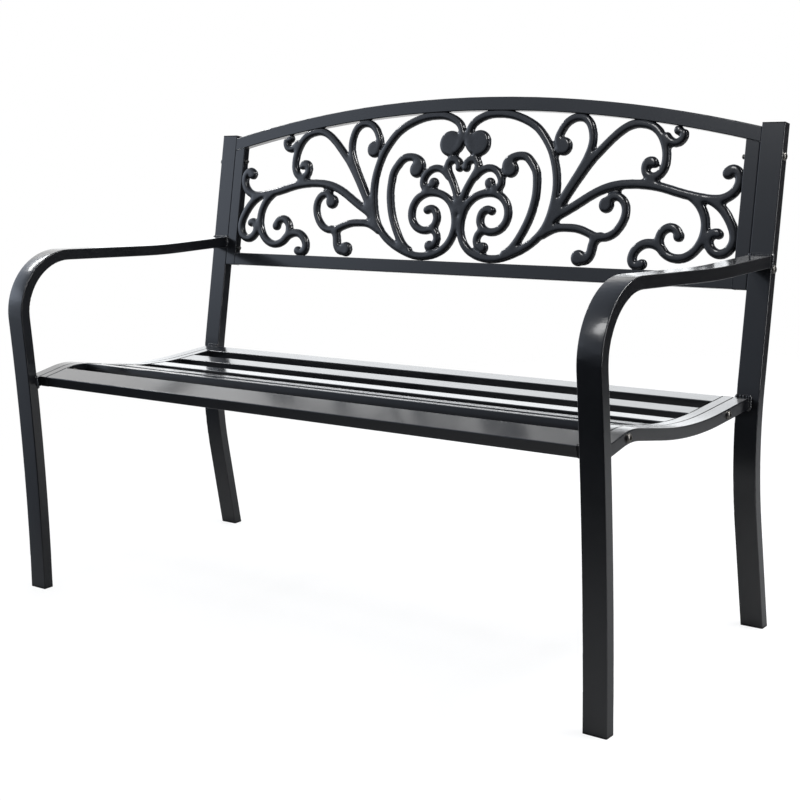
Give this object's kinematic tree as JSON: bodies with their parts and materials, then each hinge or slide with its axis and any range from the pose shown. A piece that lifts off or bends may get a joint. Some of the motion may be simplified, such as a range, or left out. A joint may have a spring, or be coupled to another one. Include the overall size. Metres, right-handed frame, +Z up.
{
  "type": "garden bench",
  "caption": "Steel garden bench for two, slatted contoured seat, bent tube legs and arm rests, arched back with a cast scroll panel, bolted together.",
  "frame": {"origin": "on the floor, under the middle of the bench's box in plan", "axes": "+X along the bench to the right of someone who stands in front of it, +Y towards its back, +Z up"},
  "size_m": [1.2788, 0.6232, 0.8987],
  "materials": {
    "powder_coated_steel": "glossy black powder coat",
    "painted_cast_iron": "satin black paint over a fine cast texture",
    "black_plastic": "moulded black plastic",
    "black_bolts": "black zinc plated steel"
  },
  "bodies": {
    "root": {"front_leg_arm_left": "powder_coated_steel", "front_leg_arm_right": "powder_coated_steel", "rear_post_left": "powder_coated_steel", "rear_post_right": "powder_coated_steel", "seat_rail_left": "powder_coated_steel", "seat_rail_right": "powder_coated_steel", "arm_welds": "powder_coated_steel", "seat_side_bar_left": "powder_coated_steel", "seat_side_bar_right": "powder_coated_steel", "front_seat_bar": "powder_coated_steel", "seat_slat_1": "powder_coated_steel", "seat_slat_2": "powder_coated_steel", "seat_slat_3": "powder_coated_steel", "seat_slat_4": "powder_coated_steel", "seat_slat_5": "powder_coated_steel", "seat_centre_strap": "powder_coated_steel", "back_top_arch": "powder_coated_steel", "back_bottom_rail": "powder_coated_steel", "back_upright_left": "powder_coated_steel", "back_upright_right": "powder_coated_steel", "seat_weld_nuts": "powder_coated_steel", "back_weld_nuts": "powder_coated_steel", "cast_scroll_panel": "painted_cast_iron", "front_foot_left": "black_plastic", "front_foot_right": "black_plastic", "rear_foot_left": "black_plastic", "rear_foot_right": "black_plastic", "post_cap_left": "black_plastic", "post_cap_right": "black_plastic", "seat_bar_end_caps": "black_plastic", "back_upright_end_caps": "black_plastic", "seat_bolts": "black_bolts", "back_bolts": "black_bolts"}
  },
  "joints": []
}
